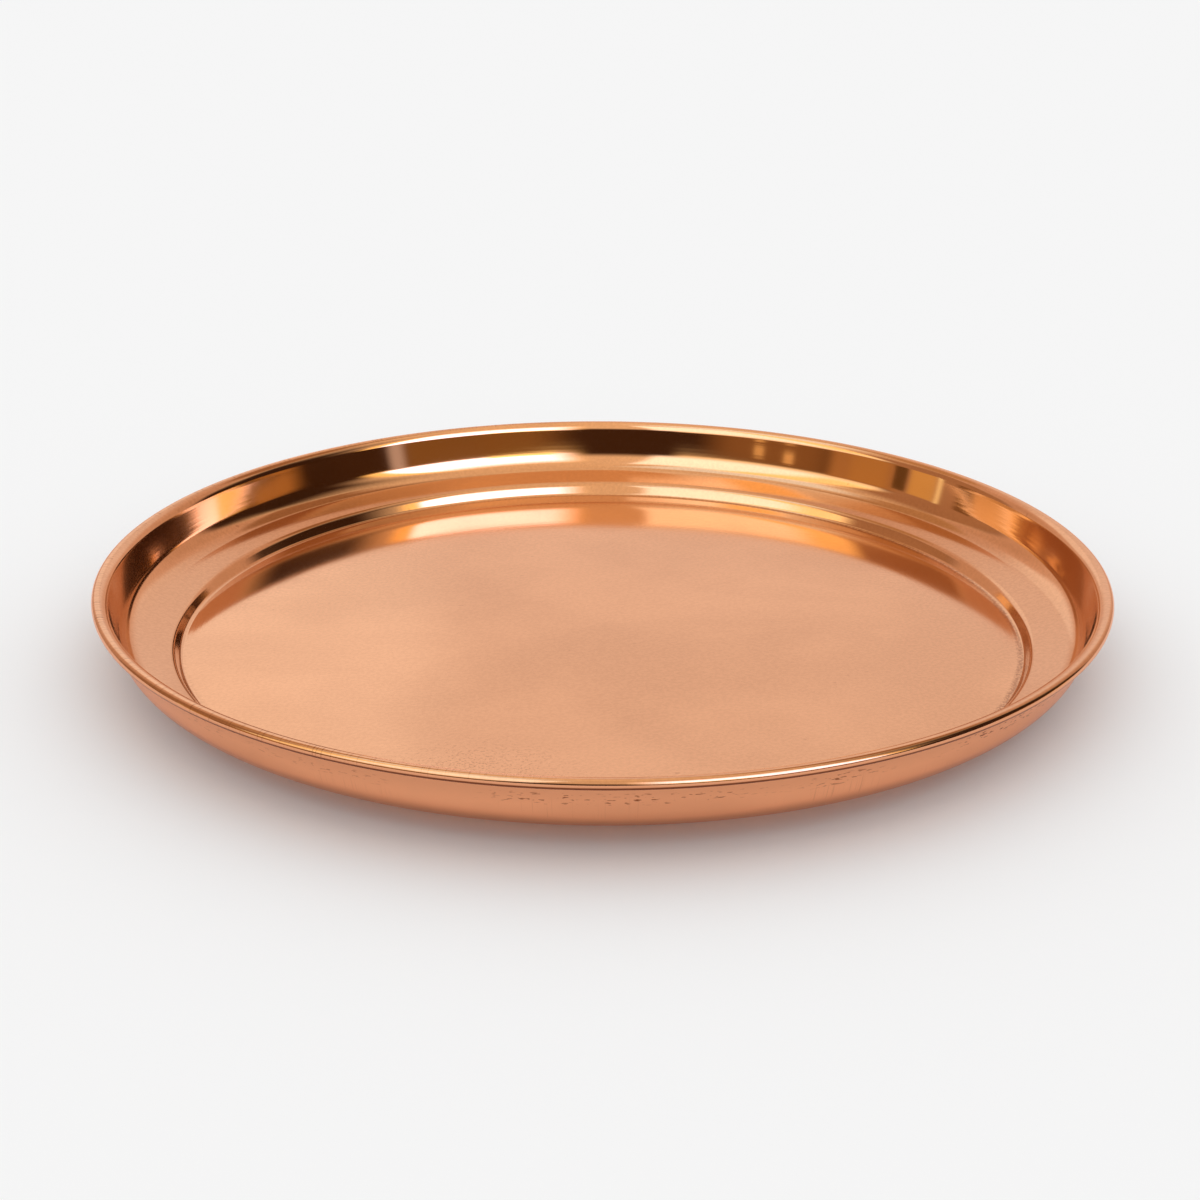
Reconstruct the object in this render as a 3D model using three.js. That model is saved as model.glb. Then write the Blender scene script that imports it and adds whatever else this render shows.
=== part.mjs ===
// Copper pooja plate: a spun sheet dish with a stepped floor and a wired rim.
// Millimetres, +Z up. The origin is the centre of the flat underside that the plate stands on.
import * as THREE from 'three';

// Overall sizes
const rimDiameter = 254;
const overallHeight = 19.8;
const sheetThickness = 0.65;

// Floor step: the shallow riser between the flat floor and the ledge round it, which slopes up to the wall
const stepHeight = 3.2;
const stepAngle = 62;
const footBendRadius = 1.2;
const shoulderBendRadius = 2.2;
const ledgeWidth = 6.6;
const ledgeAngle = 15;

// Wall: a hollow curve that runs up into a steep straight wall, with a lip that rolls outwards at its top
const bowlBendRadius = 7.2;
const wallAngle = 76.5;
const lipBendRadius = 2.8;

// Wired rim: past the lip the sheet's edge is curled down round a wire and tucked back up under the lip
const wireDiameter = 0.8;
const wireClearance = 0.1;
const seamGap = 0.3;

// Facets
const roundFacets = 80;
const bendFacetAngle = 16;
const curlFacetAngle = 24;
const wireFacets = 8;
const leastStraight = 0.001;

const radians = THREE.MathUtils.degToRad;
const halfSheet = sheetThickness / 2;

// The bend radii above are those of the upper face, and these are those of the sheet's middle line.
const footRadius = footBendRadius + halfSheet;
const shoulderRadius = shoulderBendRadius - halfSheet;
const bowlRadius = bowlBendRadius + halfSheet;
const lipRadius = lipBendRadius - halfSheet;
const curlInnerRadius = wireDiameter / 2 + wireClearance;
const curlRadius = curlInnerRadius + halfSheet;
const beadRadius = curlInnerRadius + sheetThickness;

// The rim's bead and wire run round this circle.
const beadCentre = { r: rimDiameter / 2 - beadRadius, z: overallHeight - beadRadius };

// The riser joins the foot's bend below and the shoulder's bend above, and takes up what they leave of the step.
// It is as steep as the two bends allow within the step's height.
const ledgeTurn = radians(ledgeAngle);
const bendReach = footRadius + shoulderRadius * Math.cos(ledgeTurn) - stepHeight;
const steepestRiser = Math.acos(Math.max(-1, bendReach / (footRadius + shoulderRadius)));
const riserTurn = Math.min(radians(stepAngle), steepestRiser);
const footRise = footRadius * (1 - Math.cos(riserTurn));
const shoulderRise = shoulderRadius * (Math.cos(ledgeTurn) - Math.cos(riserTurn));
const riserLength = (stepHeight - footRise - shoulderRise) / Math.sin(riserTurn);
const stepRun =
  footRadius * Math.sin(riserTurn) +
  riserLength * Math.cos(riserTurn) +
  shoulderRadius * (Math.sin(riserTurn) - Math.sin(ledgeTurn));

// The straight wall touches the bowl's bend below and the lip's bend above. The lip crests over the bead.
const wallTurn = radians(wallAngle);
const ledgeTop = halfSheet + stepHeight + ledgeWidth * Math.sin(ledgeTurn);
const wallFoot = ledgeTop + bowlRadius * (Math.cos(ledgeTurn) - Math.cos(wallTurn));
const wallTop = overallHeight - lipBendRadius + lipRadius * Math.cos(wallTurn);
const wallLength = (wallTop - wallFoot) / Math.sin(wallTurn);
const wallRun =
  bowlRadius * (Math.sin(wallTurn) - Math.sin(ledgeTurn)) +
  wallLength * Math.cos(wallTurn) +
  lipRadius * Math.sin(wallTurn);
const floorRadius = beadCentre.r - wallRun - ledgeWidth * Math.cos(ledgeTurn) - stepRun;

// The curl stops where its tucked edge is one seam gap from the lip's under face. The bead's centre, the
// lip's centre and that edge form a triangle with these three sides.
const centreGap = lipRadius - curlRadius;
const edgeReach = lipRadius - halfSheet - seamGap;
const seamTurn = Math.acos((edgeReach ** 2 - beadRadius ** 2 - centreGap ** 2) / (2 * beadRadius * centreGap));
const curlTurn = 2 * Math.PI - seamTurn;

// Walks along the sheet's middle line from the axis to the tucked edge, by straights and bends.
function sheetLine() {
  const stations = [{ r: 0, z: halfSheet, heading: 0 }];
  const last = () => stations[stations.length - 1];
  const straight = (length) => {
    if (length < leastStraight) return;
    const { r, z, heading } = last();
    stations.push({ r: r + length * Math.cos(heading), z: z + length * Math.sin(heading), heading });
  };
  // A positive turn bends the sheet up, and a negative one bends it down.
  const bend = (radius, turn, facetAngle) => {
    const start = last();
    const side = Math.sign(turn);
    const centre = {
      r: start.r - side * radius * Math.sin(start.heading),
      z: start.z + side * radius * Math.cos(start.heading),
    };
    const steps = Math.ceil(Math.abs(turn) / radians(facetAngle));
    for (let step = 1; step <= steps; step += 1) {
      const heading = start.heading + (turn * step) / steps;
      stations.push({
        r: centre.r + side * radius * Math.sin(heading),
        z: centre.z - side * radius * Math.cos(heading),
        heading,
      });
    }
  };
  straight(floorRadius);
  bend(footRadius, riserTurn, bendFacetAngle);
  straight(riserLength);
  bend(shoulderRadius, ledgeTurn - riserTurn, bendFacetAngle);
  straight(ledgeWidth);
  bend(bowlRadius, wallTurn - ledgeTurn, bendFacetAngle);
  straight(wallLength);
  bend(lipRadius, -wallTurn, bendFacetAngle);
  bend(curlRadius, -curlTurn, curlFacetAngle);
  return stations;
}

// One face of the sheet: the middle line moved square to itself.
function sheetFace(stations, distance) {
  return stations.map(
    ({ r, z, heading }) =>
      new THREE.Vector2(r - distance * Math.sin(heading), z + distance * Math.cos(heading)),
  );
}

// Spins a profile of (radius, height) points about the vertical axis.
function spin(profile) {
  return new THREE.LatheGeometry(profile, roundFacets).rotateX(Math.PI / 2);
}

function namedMesh(name, geometry, material) {
  const mesh = new THREE.Mesh(geometry, material);
  mesh.name = name;
  return mesh;
}

// The dish is one sheet from the middle of its floor to the tucked edge of its rim.
function makeDish() {
  const stations = sheetLine();
  const outside = sheetFace(stations, -halfSheet);
  const inside = sheetFace(stations, halfSheet).reverse();
  const polishedCopper = new THREE.MeshStandardMaterial({ color: 0xe4a681, roughness: 0.12, metalness: 1 });
  return namedMesh('dish', spin([...outside, ...inside]), polishedCopper);
}

// The wire lies inside the curl and stiffens the thin sheet's edge.
function makeRimWire() {
  const profile = [];
  for (let step = 0; step <= wireFacets; step += 1) {
    const turn = ((step % wireFacets) * 2 * Math.PI) / wireFacets;
    const reach = wireDiameter / 2;
    profile.push(new THREE.Vector2(beadCentre.r + reach * Math.cos(turn), beadCentre.z + reach * Math.sin(turn)));
  }
  const drawnCopper = new THREE.MeshStandardMaterial({ color: 0xb87a5a, roughness: 0.45, metalness: 1 });
  return namedMesh('rim_wire', spin(profile), drawnCopper);
}

const poojaPlate = new THREE.Group();
poojaPlate.add(makeDish(), makeRimWire());

export default poojaPlate;
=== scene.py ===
import math

import bpy
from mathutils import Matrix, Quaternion, Vector


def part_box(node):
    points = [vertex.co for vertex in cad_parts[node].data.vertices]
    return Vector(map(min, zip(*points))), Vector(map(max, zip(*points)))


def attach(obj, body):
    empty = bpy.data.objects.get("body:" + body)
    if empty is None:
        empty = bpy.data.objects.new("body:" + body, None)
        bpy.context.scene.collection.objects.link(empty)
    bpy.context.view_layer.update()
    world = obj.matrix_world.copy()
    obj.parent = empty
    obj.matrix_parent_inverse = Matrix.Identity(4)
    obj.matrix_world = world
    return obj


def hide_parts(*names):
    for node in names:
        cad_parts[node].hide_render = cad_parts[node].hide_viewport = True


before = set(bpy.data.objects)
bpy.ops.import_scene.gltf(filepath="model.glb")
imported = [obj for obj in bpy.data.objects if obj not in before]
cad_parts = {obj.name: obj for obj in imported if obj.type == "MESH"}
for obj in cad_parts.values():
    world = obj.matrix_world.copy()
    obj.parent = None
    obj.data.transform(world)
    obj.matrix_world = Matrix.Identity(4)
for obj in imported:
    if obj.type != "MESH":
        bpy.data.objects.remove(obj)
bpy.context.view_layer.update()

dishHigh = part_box("dish")[1]
rimRadius = dishHigh.x
rimHeight = dishHigh.z
print("frame loaded, rim radius", round(rimRadius, 4), "height", round(rimHeight, 4))


def startClean():
    if bpy.context.object and bpy.context.object.mode != "OBJECT":
        bpy.ops.object.mode_set(mode="OBJECT")
    bpy.ops.object.select_all(action="DESELECT")


def finishPiece(piece, name, body):
    piece.name = name
    piece.data.name = name
    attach(piece, body)
    return piece


# dish: the sheet's middle line is drawn with extrude and spin, turned about the axis, then thickened

dishShape = {
    "sheet": 0.00065,
    "stepHeight": 0.0032,
    "stepAngle": 62.0,
    "footRadius": 0.0012,       # the radii are those of the upper face
    "shoulderRadius": 0.0022,
    "ledgeWidth": 0.0066,
    "ledgeAngle": 15.0,
    "bowlRadius": 0.0072,
    "wallAngle": 76.5,
    "wallHollow": 3.0,          # the wall steepens by this from its foot to the lip
    "lipRadius": 0.0028,
    "wire": 0.0008,
    "wireClearance": 0.0001,
    "seamGap": 0.0003,
    "roundSteps": 288,
    "floorRings": 14,
    "ledgeRings": 5,
    "wallRings": 8,
    "bendDegrees": 4.0,         # turn between rings in the shoulder and the lip
    "footDegrees": 6.0,
    "bowlDegrees": 3.0,
    "curlDegrees": 8.0,
    "longEdge": 0.03,           # only the flat floor has an edge longer than this
    "lengthSlack": 0.00001,
    "mergeDistance": 0.000001,
    "smoothAngle": 40.0,
}

# The spun floor isn't quite flat: it swells a little towards its edge, then dips to the foot of the step.
floorSwell = {
    "climb": 1.1,
    "climbWidth": 0.030,
    "crestWidth": 0.004,
    "dip": 2.9,
    "dipWidth": 0.0223,
    "rings": 12,
}


def addStraight(line, length):
    move = Vector((math.cos(line["heading"]), 0, math.sin(line["heading"]))) * length
    bpy.ops.mesh.extrude_region_move(TRANSFORM_OT_translate={"value": move})
    line["at"] += move


def addBend(line, radius, turn, steps):
    side = math.copysign(1, turn)
    heading = line["heading"]
    centre = line["at"] + Vector((-side * radius * math.sin(heading), 0, side * radius * math.cos(heading)))
    bpy.ops.mesh.spin(steps=steps, angle=abs(turn), center=centre, axis=(0, side, 0))
    line["heading"] += turn
    heading = line["heading"]
    line["at"] = centre + Vector((side * radius * math.sin(heading), 0, -side * radius * math.cos(heading)))


def bendSteps(turn, degrees):
    return math.ceil(math.degrees(abs(turn)) / degrees)


def makeDish(shape, swell):
    half = shape["sheet"] / 2
    foot = shape["footRadius"] + half
    shoulder = shape["shoulderRadius"] - half
    bowl = shape["bowlRadius"] + half
    lip = shape["lipRadius"] - half
    curlInner = shape["wire"] / 2 + shape["wireClearance"]
    curl = curlInner + half
    bead = curlInner + shape["sheet"]
    riser = math.radians(shape["stepAngle"])
    wall = math.radians(shape["wallAngle"])
    hollow = math.radians(shape["wallHollow"])
    wallLow = wall - hollow / 2
    wallHigh = wall + hollow / 2
    ledge = math.radians(shape["ledgeAngle"])
    climb = math.radians(swell["climb"])
    dip = math.radians(swell["dip"])

    # the wall and the rim, measured from the rim inwards
    wallRise = rimHeight - shape["lipRadius"] + lip * math.cos(wallHigh)
    wallRise -= half + shape["stepHeight"] + shape["ledgeWidth"] * math.sin(ledge)
    wallRise -= bowl * (math.cos(ledge) - math.cos(wallLow))
    wallChord = wallRise / math.sin(wall)
    wallRadius = wallChord / 2 / math.sin(hollow / 2)
    wallRun = lip * math.sin(wallHigh) + wallChord * math.cos(wall)
    wallRun += bowl * (math.sin(wallLow) - math.sin(ledge))
    ledgeStart = rimRadius - bead - wallRun - shape["ledgeWidth"] * math.cos(ledge)
    centreGap = lip - curl
    edgeReach = lip - half - shape["seamGap"]
    seam = math.acos((edgeReach ** 2 - bead ** 2 - centreGap ** 2) / (2 * bead * centreGap))

    # the floor's swell, then a riser that reaches the ledge from there
    climbRadius = swell["climbWidth"] / math.sin(climb)
    dipRadius = swell["dipWidth"] / (math.sin(climb) + math.sin(dip))
    footLevel = climbRadius * (1 - math.cos(climb)) + swell["crestWidth"] * math.tan(climb)
    footLevel -= dipRadius * (math.cos(climb) - math.cos(dip))
    riserRise = shape["stepHeight"] - footLevel - foot * (math.cos(dip) - math.cos(riser))
    riserLength = (riserRise - shoulder * (math.cos(ledge) - math.cos(riser))) / math.sin(riser)
    stepRun = foot * (math.sin(dip) + math.sin(riser)) + riserLength * math.cos(riser)
    stepRun += shoulder * (math.sin(riser) - math.sin(ledge))
    floorRadius = ledgeStart - stepRun
    flatRadius = floorRadius - swell["climbWidth"] - swell["crestWidth"] - swell["dipWidth"]

    startClean()
    bpy.ops.mesh.primitive_plane_add(size=shape["sheet"], location=(0, 0, 0))
    dish = bpy.context.object
    bpy.ops.object.mode_set(mode="EDIT")
    bpy.ops.mesh.select_all(action="SELECT")
    bpy.ops.mesh.merge(type="CENTER")
    bpy.ops.transform.translate(value=(0, 0, half))

    line = {"at": Vector((0, 0, half)), "heading": 0.0}
    addStraight(line, flatRadius)
    addBend(line, climbRadius, climb, swell["rings"])
    addStraight(line, swell["crestWidth"] / math.cos(climb))
    addBend(line, dipRadius, -climb - dip, swell["rings"])
    addBend(line, foot, riser + dip, bendSteps(riser, shape["footDegrees"]))
    addStraight(line, riserLength)
    addBend(line, shoulder, ledge - riser, bendSteps(riser - ledge, shape["bendDegrees"]))
    addStraight(line, shape["ledgeWidth"])
    addBend(line, bowl, wallLow - ledge, bendSteps(wallLow - ledge, shape["bowlDegrees"]))
    addBend(line, wallRadius, hollow, shape["wallRings"])
    addBend(line, lip, -wallHigh, bendSteps(wallHigh, shape["bendDegrees"]))
    addBend(line, curl, seam - 2 * math.pi, bendSteps(2 * math.pi - seam, shape["curlDegrees"]))

    # rings across the flat floor and the ledge
    bpy.ops.mesh.select_mode(type="EDGE")
    selectEdges(dish, lambda a, b: (a - b).length > shape["longEdge"])
    bpy.ops.mesh.subdivide(number_cuts=shape["floorRings"])
    selectEdges(dish, lambda a, b: abs((a - b).length - shape["ledgeWidth"]) < shape["lengthSlack"])
    bpy.ops.mesh.subdivide(number_cuts=shape["ledgeRings"])

    bpy.ops.mesh.select_mode(type="VERT")
    bpy.ops.mesh.select_all(action="SELECT")
    bpy.ops.mesh.spin(steps=shape["roundSteps"], angle=2 * math.pi, center=(0, 0, 0), axis=(0, 0, 1))
    bpy.ops.mesh.select_all(action="SELECT")
    bpy.ops.mesh.remove_doubles(threshold=shape["mergeDistance"])
    bpy.ops.mesh.normals_make_consistent(inside=False)
    bpy.ops.object.mode_set(mode="OBJECT")

    thicken = dish.modifiers.new("sheet", "SOLIDIFY")
    thicken.thickness = shape["sheet"]
    thicken.offset = 0
    thicken.use_even_offset = True
    bpy.ops.object.modifier_apply(modifier=thicken.name)
    bpy.ops.object.shade_smooth_by_angle(angle=math.radians(shape["smoothAngle"]))
    print("dish turned, floor radius", round(floorRadius, 5), "faces", len(dish.data.polygons))
    return dish


def selectEdges(piece, test):
    bpy.ops.mesh.select_all(action="DESELECT")
    bpy.ops.object.mode_set(mode="OBJECT")
    points = piece.data.vertices
    for edge in piece.data.edges:
        edge.select = test(*(points[i].co for i in edge.vertices))
    bpy.ops.object.mode_set(mode="EDIT")


# node helpers

def mathNode(tree, operation, *values):
    node = tree.nodes.new("ShaderNodeMath")
    node.operation = operation
    for socket, value in zip(node.inputs, values):
        if isinstance(value, (int, float)):
            socket.default_value = value
        else:
            tree.links.new(value, socket)
    return node.outputs[0]


def mixColors(tree, factor, first, second):
    node = tree.nodes.new("ShaderNodeMix")
    node.data_type = "RGBA"
    tree.links.new(factor, node.inputs["Factor"])
    for name, value in (("A", first), ("B", second)):
        if isinstance(value, tuple):
            node.inputs[name].default_value = (*value, 1)
        else:
            tree.links.new(value, node.inputs[name])
    return node.outputs["Result"]


def softStep(tree, value, start, end):
    node = tree.nodes.new("ShaderNodeMapRange")
    node.interpolation_type = "SMOOTHSTEP"
    tree.links.new(value, node.inputs["Value"])
    node.inputs["From Min"].default_value = start
    node.inputs["From Max"].default_value = end
    return node.outputs["Result"]


def softBand(tree, value, limits, edges):
    rise = softStep(tree, value, limits[0] - edges[0] / 2, limits[0] + edges[0] / 2)
    fall = softStep(tree, value, limits[1] + edges[1] / 2, limits[1] - edges[1] / 2)
    return mathNode(tree, "MULTIPLY", rise, fall)


def noiseNode(tree, vector, scale, detail):
    node = tree.nodes.new("ShaderNodeTexNoise")
    node.inputs["Scale"].default_value = scale
    node.inputs["Detail"].default_value = detail
    tree.links.new(vector, node.inputs["Vector"])
    return node.outputs["Fac"]


def joinXyz(tree, *values):
    node = tree.nodes.new("ShaderNodeCombineXYZ")
    for socket, value in zip(node.inputs, values):
        tree.links.new(value, socket)
    return node.outputs[0]


def axisDistance(tree, x, y):
    squares = mathNode(tree, "ADD", mathNode(tree, "MULTIPLY", x, x), mathNode(tree, "MULTIPLY", y, y))
    return mathNode(tree, "SQRT", squares)


# copper

copperLook = {
    "color": (0.89, 0.60, 0.38),
    # the dark colour of stains, also used to paint shade under the bowl and under the bead
    "stainAndShade": (0.16, 0.055, 0.02),
    "roughness": (0.06, 0.13),          # where the polish is best and worst
    "roughLimits": (0.35, 0.95),
    "roughStainAndShade": 0.5,
    "facingLimits": (0.2, 0.6),         # how far a face turns before it counts as outside or upward
    "cloudScale": 16.0,
    "cloudLimits": (0.36, 0.64),
    "cloudShade": 0.13,
    "patchScale": 27.2,                 # patches that have strokes, dashes and specks
    "patchLimits": (0.40, 0.62),
    "ringScale": 1500.0,                # buffing lines round the axis
    "ringDepth": 0.000004,
    "waveScale": 22.0,                  # the sheet's slow unevenness
    "waveDepth": 0.00012,
    "streakScale": (7.0, 34.0),         # faint wiping marks on the floor, along and across
    "streakTurn": -70.0,
    "streakLimits": (0.40, 0.75),
    "streakShade": 0.10,
    "strokeScale": (420.0, 60.0),       # fine strokes up the outside, round and up
    "strokeLimits": (0.50, 0.75),
    "strokeShade": 0.22,
    "strokeDepth": 0.000002,
    "dashScale": (62.0, 2600.0),        # dark dashes in a band round the outside
    "dashBand": (0.0125, 0.0152),
    "dashEdges": (0.0012, 0.0012),
    "dashLimits": (0.58, 0.66),
    "dashShade": 0.85,
    "paintedCreaseBand": (0.0167, 0.0184),     # painted shade in the crease under the bead
    "paintedCreaseEdges": (0.0002, 0.0004),
    "grooveShade": 0.95,
    "wallTopHeights": (0.0108, 0.0165),    # darker towards the top of the outside wall
    "hazeShade": 0.24,
    "paintedUnderFacing": (-0.25, -0.95),      # painted shade, darker where the bowl turns under towards the floor
    "paintedUnderRadius": (0.110, 0.115),
    "underShade": 0.58,
    "tickScale": (420.0, 90.0),         # ticks across the left of the rim's bead
    "tickHeight": (0.0172, 0.0176),
    "tickRadius": (0.1245, 0.1250),
    "tickSide": (0.2, -0.5),
    "tickLimits": (0.52, 0.72),
    "tickShade": 0.55,
    "grainPlace": (-0.030, -0.092, 0.0),  # a grainy patch near the front of the floor
    "grainReach": (0.036, 0.0072),
    "grainScale": 1700.0,
    "grainLimits": (0.50, 0.68),
    "grainShade": 0.30,
    "fineScale": 1100.0,                # faint grain on all upward faces
    "fineLimits": (0.32, 0.68),
    "fineShade": 0.08,
    "footRing": (0.1058, 0.1074),       # darker speckle at the foot of the step, most of it on the right
    "footEdges": (0.0014, 0.0008),
    "footSide": (-1.8, 1.0),
    "footLimits": (0.15, 0.75),
    "footShade": 0.60,
    "ledgeRing": (0.1085, 0.1195),
    "ledgeEdges": (0.003, 0.003),
    "ledgeShade": 0.14,
    "speckScale": 420.0,
    "speckLimits": (0.74, 0.80),
    "speckShade": 0.25,
}


def makeCopper(name, look):
    material = bpy.data.materials.new(name)
    material.use_nodes = True
    tree = material.node_tree
    shader = tree.nodes["Principled BSDF"]
    shader.inputs["Metallic"].default_value = 1
    coords = tree.nodes.new("ShaderNodeTexCoord")
    place = coords.outputs["Object"]
    split = tree.nodes.new("ShaderNodeSeparateXYZ")
    tree.links.new(place, split.inputs[0])
    x, y, height = split.outputs
    radius = axisDistance(tree, x, y)
    sideX = mathNode(tree, "DIVIDE", x, radius)
    sideY = mathNode(tree, "DIVIDE", y, radius)
    facing = tree.nodes.new("ShaderNodeSeparateXYZ")
    tree.links.new(coords.outputs["Normal"], facing.inputs[0])
    facingX, facingY, facingZ = facing.outputs
    outward = mathNode(
        tree, "ADD", mathNode(tree, "MULTIPLY", facingX, sideX), mathNode(tree, "MULTIPLY", facingY, sideY))
    outside = softStep(tree, outward, *look["facingLimits"])
    upward = softStep(tree, facingZ, *look["facingLimits"])

    def around(scales):
        return joinXyz(
            tree,
            mathNode(tree, "MULTIPLY", sideX, scales[0]),
            mathNode(tree, "MULTIPLY", sideY, scales[0]),
            mathNode(tree, "MULTIPLY", height, scales[1]))

    def times(*values):
        product = values[0]
        for value in values[1:]:
            product = mathNode(tree, "MULTIPLY", product, value)
        return product

    def noiseMask(vector, scale, detail, limits):
        return softStep(tree, noiseNode(tree, vector, scale, detail), *limits)

    cloud = noiseNode(tree, place, look["cloudScale"], 4)
    rings = noiseNode(tree, joinXyz(tree, radius, height, height), look["ringScale"], 2)
    wave = noiseNode(tree, place, look["waveScale"], 1)
    strokes = noiseNode(tree, around(look["strokeScale"]), 1, 3)
    patchy = noiseMask(place, look["patchScale"], 2, look["patchLimits"])
    turned = tree.nodes.new("ShaderNodeMapping")
    turned.inputs["Rotation"].default_value = (0, 0, math.radians(look["streakTurn"]))
    turned.inputs["Scale"].default_value = (*look["streakScale"], 1)
    tree.links.new(place, turned.inputs["Vector"])
    away = tree.nodes.new("ShaderNodeVectorMath")
    away.operation = "DISTANCE"
    tree.links.new(place, away.inputs[0])
    away.inputs[1].default_value = look["grainPlace"]

    # where each kind of mark lies, painted shade among them
    marks = {
        "cloud": softStep(tree, cloud, *look["cloudLimits"]),
        # painted shade where the bowl turns under
        "under": times(
            softStep(tree, facingZ, *look["paintedUnderFacing"]), softStep(tree, radius, *look["paintedUnderRadius"])),
        # darker towards the top of the outside wall
        "haze": times(softStep(tree, height, *look["wallTopHeights"]), outside),
        "stroke": times(softStep(tree, strokes, *look["strokeLimits"]), patchy, outside),
        "streak": times(noiseMask(turned.outputs["Vector"], 1, 3, look["streakLimits"]), upward),
        "dash": times(
            noiseMask(around(look["dashScale"]), 1, 2, look["dashLimits"]),
            softBand(tree, height, look["dashBand"], look["dashEdges"]), patchy, outside),
        # painted shade in the crease under the bead, where the curl meets the wall
        "groove": times(softBand(tree, height, look["paintedCreaseBand"], look["paintedCreaseEdges"]), outside),
        "tick": times(
            noiseMask(around(look["tickScale"]), 1, 2, look["tickLimits"]),
            softStep(tree, height, *look["tickHeight"]),
            softStep(tree, radius, *look["tickRadius"]), softStep(tree, sideX, *look["tickSide"])),
        "grain": times(
            noiseMask(place, look["grainScale"], 2, look["grainLimits"]),
            softStep(tree, away.outputs["Value"], *look["grainReach"]), upward),
        "foot": times(
            softBand(tree, radius, look["footRing"], look["footEdges"]),
            noiseMask(place, look["grainScale"], 2, look["footLimits"]),
            softStep(tree, sideX, *look["footSide"]), upward),
        "ledge": times(softBand(tree, radius, look["ledgeRing"], look["ledgeEdges"]), upward),
        "speck": times(noiseMask(place, look["speckScale"], 1, look["speckLimits"]), patchy),
    }
    # stains and painted shade add up to one darkening of the copper
    stainAndShade = None
    for mark, mask in marks.items():
        part = times(mask, look[mark + "Shade"])
        stainAndShade = part if stainAndShade is None else mathNode(tree, "MAXIMUM", stainAndShade, part)
    fine = times(noiseMask(place, look["fineScale"], 3, look["fineLimits"]), upward)
    stainAndShade = mathNode(tree, "ADD", stainAndShade, times(fine, look["fineShade"]))
    tree.links.new(mixColors(tree, stainAndShade, look["color"], look["stainAndShade"]), shader.inputs["Base Color"])

    rough = tree.nodes.new("ShaderNodeMapRange")
    tree.links.new(mathNode(tree, "ADD", cloud, times(stainAndShade, look["roughStainAndShade"])), rough.inputs["Value"])
    rough.inputs["From Min"].default_value, rough.inputs["From Max"].default_value = look["roughLimits"]
    rough.inputs["To Min"].default_value, rough.inputs["To Max"].default_value = look["roughness"]
    tree.links.new(rough.outputs["Result"], shader.inputs["Roughness"])

    relief = mathNode(tree, "ADD", times(rings, look["ringDepth"]), times(wave, look["waveDepth"]))
    relief = mathNode(tree, "ADD", relief, times(strokes, outside, look["strokeDepth"]))
    bump = tree.nodes.new("ShaderNodeBump")
    bump.inputs["Distance"].default_value = 1
    tree.links.new(relief, bump.inputs["Height"])
    tree.links.new(bump.outputs["Normal"], shader.inputs["Normal"])
    return material


# the wire inside the curl: dull drawn copper with draw lines round it

wireLook = {
    "bright": (0.62, 0.34, 0.22),
    "dull": (0.36, 0.17, 0.10),
    "lineScale": 2600.0,
    "patchScale": 60.0,
    "shadeLimits": (0.10, 0.45),
    "roughness": 0.42,
}


def makeWireCopper(name, look):
    material = bpy.data.materials.new(name)
    material.use_nodes = True
    tree = material.node_tree
    shader = tree.nodes["Principled BSDF"]
    shader.inputs["Metallic"].default_value = 1
    shader.inputs["Roughness"].default_value = look["roughness"]
    split = tree.nodes.new("ShaderNodeSeparateXYZ")
    place = tree.nodes.new("ShaderNodeTexCoord").outputs["Object"]
    tree.links.new(place, split.inputs[0])
    radius = axisDistance(tree, split.outputs["X"], split.outputs["Y"])
    lines = noiseNode(tree, joinXyz(tree, radius, split.outputs["Z"], radius), look["lineScale"], 3)
    shade = mathNode(tree, "MULTIPLY", lines, noiseNode(tree, place, look["patchScale"], 3))
    shade = softStep(tree, shade, *look["shadeLimits"])
    tree.links.new(mixColors(tree, shade, look["dull"], look["bright"]), shader.inputs["Base Color"])
    return material


dish = makeDish(dishShape, floorSwell)
dish.data.materials.append(makeCopper("polishedCopper", copperLook))
finishPiece(dish, "copper_dish", "root")
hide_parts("dish")
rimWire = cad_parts["rim_wire"]
rimWire.data.materials.clear()
rimWire.data.materials.append(makeWireCopper("drawnCopper", wireLook))
print("dish and wire finished")

# stage

stageLook = {
    "floorSize": 12.0,
    "floorDrop": 0.0002,
    "openRadius": 0.1055,
    "floorColor": (0.92, 0.92, 0.92),
    "tableColor": (1.0, 0.67, 0.56),   # what the metal sees of the surface that it stands on
    "ceiling": (0.95, 0.62, 0.38),
    "matLight": (1.0, 1.0, 1.0),        # plain soft light on matt surfaces
}

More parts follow.
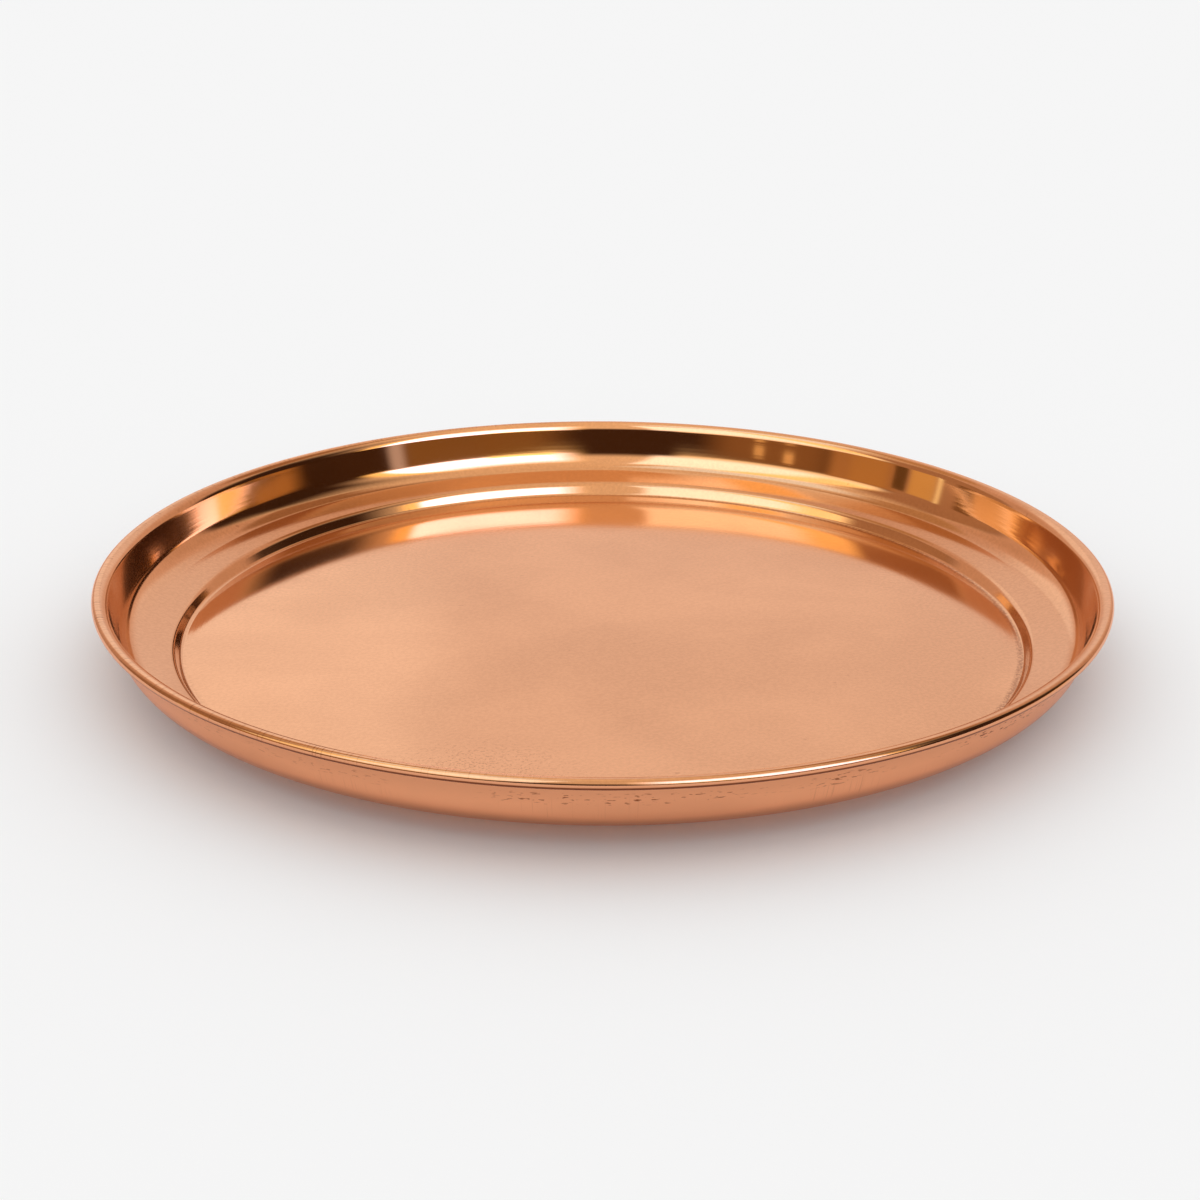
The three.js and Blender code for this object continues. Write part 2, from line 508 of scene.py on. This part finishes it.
# The room that the metal mirrors, in degrees: azimuth 0 is behind the plate and grows to the right.
# Each card is (azimuths, elevations, (left edge, right edge), (lower edge, upper edge), colour),
# and later ones cover earlier ones.
studioCards = {
    "upperRoom": ((-200, 200), (14, 80), (4, 4), (4, 24), (0.93, 0.62, 0.394)),
    "lowRoom": ((-200, 200), (-95, 28), (4, 4), (4, 26), (0.05, 0.017, 0.005)),
    "leftHigh": ((-135, -40), (60, 86), (20, 20), (10, 10), (1.12, 1.05, 0.986)),
    "leftGlow": ((-160, -100), (14.5, 70), (6, 6), (9, 12), (1.0, 0.70, 0.394)),
    "leftBox": ((-166, -92), (25, 72), (5, 14), (20, 8), (1.7, 1.5, 1.4)),
    "leftBoxEdge": ((-116, -92), (25, 72), (14, 10), (20, 8), (1.5, 1.05, 0.5)),
    "leftLow": ((-150, -118), (-95, 13.5), (14, 14), (4, 8), (0.26, 0.105, 0.03)),
    "leftNear": ((-118, -92), (-95, 16), (4, 4), (4, 6), (0.44, 0.19, 0.058)),
    "leftGap": ((-98, -60), (-95, 50), (8, 8), (4, 24), (0.42, 0.20, 0.099)),
    "rightGap": ((64, 106), (-95, 55), (20, 20), (4, 42), (0.04, 0.013, 0.003)),
    "rightGlow": ((113, 172), (14, 60), (6, 10), (7, 24), (1.5, 0.95, 0.35)),
    "rightBox": ((119, 168), (15.5, 55), (4, 14), (6, 24), (2.5, 2.4, 3.48)),
    "rightEdge": ((148, 167), (13.5, 21), (4, 4), (2, 4), (1.9, 1.45, 0.638)),
    "rightLow": ((125, 167), (-95, 13.5), (8, 16), (4, 6), (0.24, 0.10, 0.023)),
    "strip": ((122, 126), (-95, 14), (3, 3), (4, 5), (0.55, 0.40, 0.36)),
    "goldNear": ((67, 77), (-2, 4.5), (6, 6), (3, 3), (0.80, 0.40, 0.095)),
    "goldFar": ((79, 94), (2, 6.5), (8, 8), (3, 3), (0.45, 0.18, 0.041)),
    "lampFirst": ((-139, -136.5), (8, 10.5), (1, 1), (1, 1), (0.9, 0.5, 0.186)),
    "lampSecond": ((-131, -128.5), (8, 10.5), (1, 1), (1, 1), (1.0, 0.55, 0.209)),
    "gold": ((-112, -101), (2, 12), (3, 3), (2, 4), (0.50, 0.22, 0.058)),
    "shelf": ((-99, -95), (1, 7.5), (1, 1), (1, 1), (0.13, 0.055, 0.014)),
    "windows": ((-94, -86), (-4, 8), (1.5, 1.5), (2, 3), (0.70, 0.36, 0.104)),
    "windowEdge": ((-85.5, -84), (-4, 9), (0.8, 0.8), (2, 3), (1.1, 0.8, 0.406)),
    "doorway": ((-79, -73), (-4, 6), (2, 2), (2, 3), (0.20, 0.08, 0.023)),
    "backdrop": ((-60, 60), (-95, 46), (8, 8), (4, 8), (0.66, 0.36, 0.232)),
    "backdropMiddle": ((-40, 40), (-95, 46), (14, 14), (4, 8), (0.75, 0.43, 0.302)),
    "backdropGlow": ((-26, 26), (12, 36), (16, 16), (14, 14), (0.91, 0.65, 0.55)),
    "backdropLeft": ((-30, -6), (12, 34), (10, 4), (12, 10), (1.03, 0.77, 0.66)),
    "gapOverLeft": ((-60, -14), (44, 58), (10, 10), (4, 8), (0.55, 0.28, 0.128)),
    "gapOverRight": ((14, 62), (44, 62), (10, 10), (4, 10), (0.38, 0.17, 0.075)),
}


def makeFloor(look):
    startClean()
    bpy.ops.mesh.primitive_plane_add(size=look["floorSize"], location=(0, 0, -look["floorDrop"]))
    floor = bpy.context.object
    floor.name = "floor"
    material = bpy.data.materials.new("paleFloor")
    material.use_nodes = True
    tree = material.node_tree
    shader = tree.nodes["Principled BSDF"]
    shader.inputs["Roughness"].default_value = 1
    shader.inputs["Specular IOR Level"].default_value = 0
    path = tree.nodes.new("ShaderNodeLightPath")
    color = mixColors(tree, path.outputs["Is Glossy Ray"], look["floorColor"], look["tableColor"])
    tree.links.new(color, shader.inputs["Base Color"])

    # clear from below and under the plate, so the plate's underside can be seen
    middle = tree.nodes.new("ShaderNodeVectorMath")
    middle.operation = "LENGTH"
    tree.links.new(tree.nodes.new("ShaderNodeTexCoord").outputs["Object"], middle.inputs[0])
    opening = mathNode(tree, "LESS_THAN", middle.outputs["Value"], look["openRadius"])
    below = tree.nodes.new("ShaderNodeNewGeometry").outputs["Backfacing"]
    blend = tree.nodes.new("ShaderNodeMixShader")
    tree.links.new(mathNode(tree, "MAXIMUM", opening, below), blend.inputs["Fac"])
    tree.links.new(shader.outputs[0], blend.inputs[1])
    tree.links.new(tree.nodes.new("ShaderNodeBsdfTransparent").outputs[0], blend.inputs[2])
    tree.links.new(blend.outputs[0], tree.nodes["Material Output"].inputs["Surface"])
    floor.data.materials.append(material)


def makeWorld(look, cards):
    world = bpy.data.worlds.new("studio")
    bpy.context.scene.world = world
    world.use_nodes = True
    tree = world.node_tree
    way = tree.nodes.new("ShaderNodeTexCoord").outputs["Generated"]
    split = tree.nodes.new("ShaderNodeSeparateXYZ")
    tree.links.new(way, split.inputs[0])
    azimuth = mathNode(tree, "ARCTAN2", split.outputs["X"], split.outputs["Y"])
    azimuth = mathNode(tree, "DEGREES", azimuth)
    elevation = mathNode(tree, "DEGREES", mathNode(tree, "ARCSINE", split.outputs["Z"]))
    shown = None
    for azimuths, elevations, sideEdges, levelEdges, color in cards.values():
        mask = mathNode(
            tree, "MULTIPLY",
            softBand(tree, azimuth, azimuths, sideEdges),
            softBand(tree, elevation, elevations, levelEdges))
        shown = mixColors(tree, mask, look["ceiling"] if shown is None else shown, color)

    # the camera sees plain white, the metal sees the room, and matt surfaces get plain soft light
    path = tree.nodes.new("ShaderNodeLightPath")
    mirrored = mathNode(tree, "MAXIMUM", path.outputs["Is Glossy Ray"], path.outputs["Is Transmission Ray"])
    shown = mixColors(tree, mirrored, look["matLight"], shown)
    shown = mixColors(tree, path.outputs["Is Camera Ray"], shown, (1, 1, 1))
    tree.links.new(shown, tree.nodes["Background"].inputs["Color"])


makeFloor(stageLook)
makeWorld(stageLook, studioCards)
print("stage set")

# camera at the photograph's view, sizes in rim radii from a point on the axis below the rim's plane

cameraPlace = {
    "distance": 3.5302,
    "elevation": 22.07,
    "roll": 0.21,
    "rimDrop": 0.1444,
    "aim": (-0.0050, 0.0, 0.0415),
    "focalShare": 1.4299,       # focal length over the picture's width
    "sensor": 36.0,
    "clipStart": 0.01,
}


def makeCamera(place):
    middle = Vector((0, 0, rimHeight - place["rimDrop"] * rimRadius))
    up = math.radians(place["elevation"])
    back = Vector((0, -math.cos(up), math.sin(up))) * place["distance"] * rimRadius
    aim = middle + Vector(place["aim"]) * rimRadius
    data = bpy.data.cameras.new("camera")
    data.sensor_width = place["sensor"]
    data.lens = place["focalShare"] * place["sensor"]
    camera = bpy.data.objects.new("camera", data)
    camera.location = middle + back
    turn = (aim - camera.location).to_track_quat("-Z", "Y")
    camera.rotation_mode = "QUATERNION"
    camera.rotation_quaternion = turn @ Quaternion((0, 0, 1), math.radians(place["roll"]))
    data.clip_start = place["clipStart"]
    bpy.context.scene.collection.objects.link(camera)
    bpy.context.scene.camera = camera


makeCamera(cameraPlace)
bpy.context.scene.view_settings.view_transform = "Standard"
print("camera placed")
